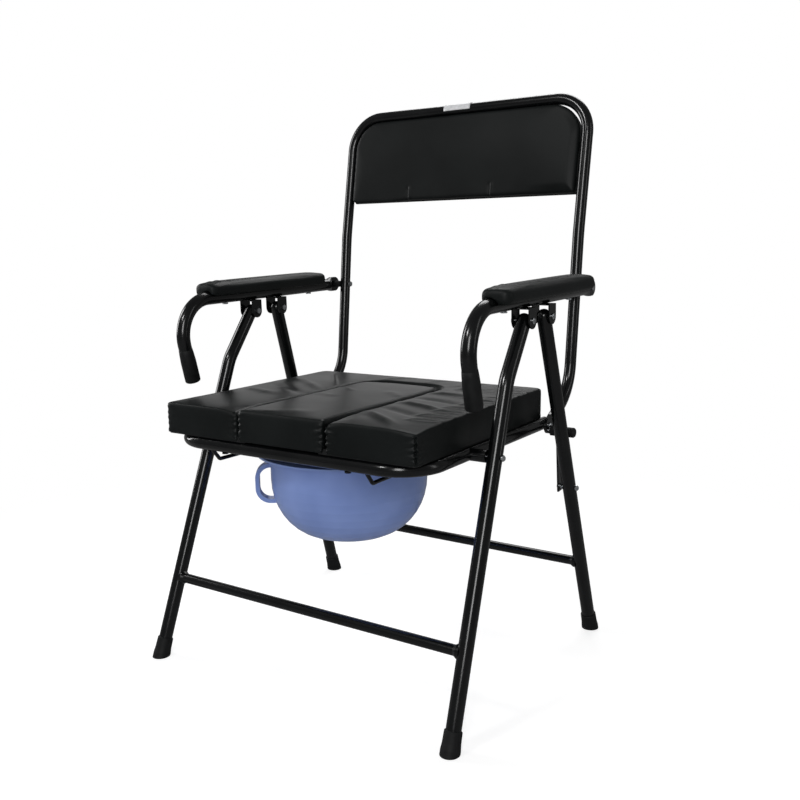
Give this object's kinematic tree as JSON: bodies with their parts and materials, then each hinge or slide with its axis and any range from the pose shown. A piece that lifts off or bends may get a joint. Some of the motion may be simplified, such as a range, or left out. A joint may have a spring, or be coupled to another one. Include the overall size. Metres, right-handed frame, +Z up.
{
  "type": "commode chair",
  "caption": "Folding commode chair of bent steel tube with padded armrests, vinyl seat with a lift-out centre, padded back panel and a slide-out bucket.",
  "frame": {"origin": "on the floor, under the middle of the whole chair as it stands open", "axes": "+X to the sitter's left, +Y to the back, -Y to the front, +Z up; seat, legs and armrests mirror across X = 0"},
  "size_m": [0.5964, 0.5643, 0.9195],
  "materials": {
    "black_tube": "gloss black enamel on bent steel tube",
    "vinyl": "satin black vinyl over moulded foam",
    "cushion_vinyl": "satin black vinyl over soft foam, lightly grained",
    "rubber": "matt black",
    "zinc": "bright plated steel",
    "board": "plain plywood",
    "bucket": "glossy lavender-blue moulding"
  },
  "bodies": {
    "back": {"back_frame": "black_tube", "back_board": "board", "back_pad": "cushion_vinyl", "panel_tabs": "black_tube", "panel_screws": "zinc", "stop_pins": "zinc", "stop_sleeves": "rubber", "armrest_bolts": "zinc", "armrest_washers": "rubber", "seat_hinge_bolts": "zinc"},
    "seat": {"seat_frame": "black_tube", "seat_cross_tube": "black_tube", "seat_plugs": "rubber", "seat_spacers": "black_tube", "rail_left": "black_tube", "rail_right": "black_tube", "seat_board": "board", "seat_screws": "zinc", "seat_cushion": "cushion_vinyl"},
    "armrests": {"armrest_tube_left": "black_tube", "armrest_tube_right": "black_tube", "armrest_pad_left": "vinyl", "armrest_pad_right": "vinyl", "grip_tips": "rubber", "front_leg_brackets": "black_tube", "rear_leg_brackets": "black_tube", "leg_bolts": "zinc", "pad_screws": "zinc"},
    "front_legs": {"front_leg_left": "black_tube", "front_leg_right": "black_tube", "front_crossbar": "black_tube", "front_foot_left": "rubber", "front_foot_right": "rubber", "seat_pivot_bolts": "zinc"},
    "rear_legs": {"rear_leg_left": "black_tube", "rear_leg_right": "black_tube", "rear_crossbar": "black_tube", "rear_foot_left": "rubber", "rear_foot_right": "rubber", "strut_bolts": "zinc"},
    "struts": {"strut_left": "black_tube", "strut_right": "black_tube", "strut_rivets": "zinc"},
    "seat_centre": {"centre_cushion": "cushion_vinyl", "centre_board": "board"},
    "bucket": {"bucket": "bucket"}
  },
  "joints": [
    {"name": "seat_fold", "type": "hinge", "parent": "back", "child": "seat", "pos_m": [0, 0.12856, 0.378], "axis": [-1, 0, 0], "range_deg": [0, 66]},
    {"name": "armrest_fold", "type": "hinge", "parent": "back", "child": "armrests", "pos_m": [0, 0.22556, 0.5975], "axis": [-1, 0, 0], "range_deg": [0, 64.5]},
    {"name": "front_leg_fold", "type": "hinge", "parent": "armrests", "child": "front_legs", "pos_m": [0, -0.02376, 0.56227], "axis": [1, 0, 0], "range_deg": [0, 76.4]},
    {"name": "rear_leg_fold", "type": "hinge", "parent": "armrests", "child": "rear_legs", "pos_m": [0, 0.04523, 0.56372], "axis": [1, 0, 0], "range_deg": [0, 38.5]},
    {"name": "strut_fold", "type": "hinge", "parent": "back", "child": "struts", "pos_m": [0, 0.12678, 0.37], "axis": [-1, 0, 0], "range_deg": [0, 150.6]},
    {"name": "bucket_slide", "type": "slide", "parent": "seat", "child": "bucket", "axis": [0, -1, 0], "range_m": [0, 0.1]},
    {"name": "centre_lift", "type": "slide", "parent": "seat", "child": "seat_centre", "axis": [0, 0, 1], "range_m": [0, 0.12]}
  ],
  "couplings": [
    {"joint": "armrest_fold", "follows": "seat_fold", "ratio": 0.97703},
    {"joint": "front_leg_fold", "follows": "seat_fold", "ratio": 1.1564},
    {"joint": "rear_leg_fold", "follows": "seat_fold", "ratio": 0.58232},
    {"joint": "strut_fold", "follows": "seat_fold", "ratio": 2.2813}
  ]
}
